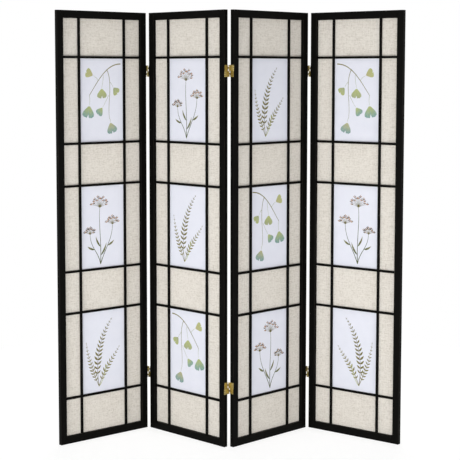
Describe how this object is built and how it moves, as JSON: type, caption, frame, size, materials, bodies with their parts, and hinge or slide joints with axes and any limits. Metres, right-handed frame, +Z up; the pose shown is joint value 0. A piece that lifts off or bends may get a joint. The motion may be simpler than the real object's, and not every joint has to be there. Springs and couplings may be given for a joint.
{
  "type": "shoji folding screen",
  "caption": "Tall folding room divider: black framed panels with a shoji lattice over cloth shades and print cards, joined by two-way brass hinges and standing in a zigzag.",
  "frame": {"origin": "middle of the standing screen's footprint, on the floor", "axes": "+Z up; front faces towards -Y; +X from the first panel to the fourth, across the zigzag"},
  "size_m": [1.4132, 0.3424, 1.785],
  "materials": {
    "black_lacquer": "near-black satin lacquer over fine straight grain",
    "shade_cloth": "warm off-white woven shade cloth, matt, slightly uneven",
    "print_card": "cool white fibre paper with a fine sparse botanical print",
    "brass": "polished brass"
  },
  "bodies": {
    "panel_1": {"panel_1_left_stile": "black_lacquer", "panel_1_right_stile": "black_lacquer", "panel_1_top_rail": "black_lacquer", "panel_1_bottom_rail": "black_lacquer", "panel_1_lattice": "black_lacquer", "panel_1_shade": "shade_cloth", "panel_1_print_lower": "print_card", "panel_1_print_middle": "print_card", "panel_1_print_upper": "print_card", "hinge_1_2_top_left_leaf": "brass", "hinge_1_2_top_upper_link": "brass", "hinge_1_2_bottom_left_leaf": "brass", "hinge_1_2_bottom_upper_link": "brass"},
    "panel_2": {"panel_2_left_stile": "black_lacquer", "panel_2_right_stile": "black_lacquer", "panel_2_top_rail": "black_lacquer", "panel_2_bottom_rail": "black_lacquer", "panel_2_lattice": "black_lacquer", "panel_2_shade": "shade_cloth", "panel_2_print_lower": "print_card", "panel_2_print_middle": "print_card", "panel_2_print_upper": "print_card", "hinge_1_2_top_right_leaf": "brass", "hinge_1_2_top_lower_link": "brass", "hinge_1_2_bottom_right_leaf": "brass", "hinge_1_2_bottom_lower_link": "brass", "hinge_2_3_top_left_leaf": "brass", "hinge_2_3_top_lower_link": "brass", "hinge_2_3_bottom_left_leaf": "brass", "hinge_2_3_bottom_lower_link": "brass"},
    "panel_3": {"panel_3_left_stile": "black_lacquer", "panel_3_right_stile": "black_lacquer", "panel_3_top_rail": "black_lacquer", "panel_3_bottom_rail": "black_lacquer", "panel_3_lattice": "black_lacquer", "panel_3_shade": "shade_cloth", "panel_3_print_lower": "print_card", "panel_3_print_middle": "print_card", "panel_3_print_upper": "print_card", "hinge_2_3_top_right_leaf": "brass", "hinge_2_3_top_upper_link": "brass", "hinge_2_3_bottom_right_leaf": "brass", "hinge_2_3_bottom_upper_link": "brass", "hinge_3_4_top_left_leaf": "brass", "hinge_3_4_top_upper_link": "brass", "hinge_3_4_bottom_left_leaf": "brass", "hinge_3_4_bottom_upper_link": "brass"},
    "panel_4": {"panel_4_left_stile": "black_lacquer", "panel_4_right_stile": "black_lacquer", "panel_4_top_rail": "black_lacquer", "panel_4_bottom_rail": "black_lacquer", "panel_4_lattice": "black_lacquer", "panel_4_shade": "shade_cloth", "panel_4_print_lower": "print_card", "panel_4_print_middle": "print_card", "panel_4_print_upper": "print_card", "hinge_3_4_top_right_leaf": "brass", "hinge_3_4_top_lower_link": "brass", "hinge_3_4_bottom_right_leaf": "brass", "hinge_3_4_bottom_lower_link": "brass"}
  },
  "joints": [
    {"name": "fold_1_2", "type": "hinge", "parent": "panel_1", "child": "panel_2", "pos_m": [-0.34673, 0.1499, 0.8925], "axis": [0, 0, 1], "range_deg": [-94.9, 84.1]},
    {"name": "fold_2_3", "type": "hinge", "parent": "panel_2", "child": "panel_3", "pos_m": [-0.00524, -0.15119, 0.8925], "axis": [0, 0, -1], "range_deg": [-90.5, 88.5]},
    {"name": "fold_3_4", "type": "hinge", "parent": "panel_3", "child": "panel_4", "pos_m": [0.33886, 0.1469, 0.8925], "axis": [0, 0, 1], "range_deg": [-97.1, 81.9]}
  ]
}
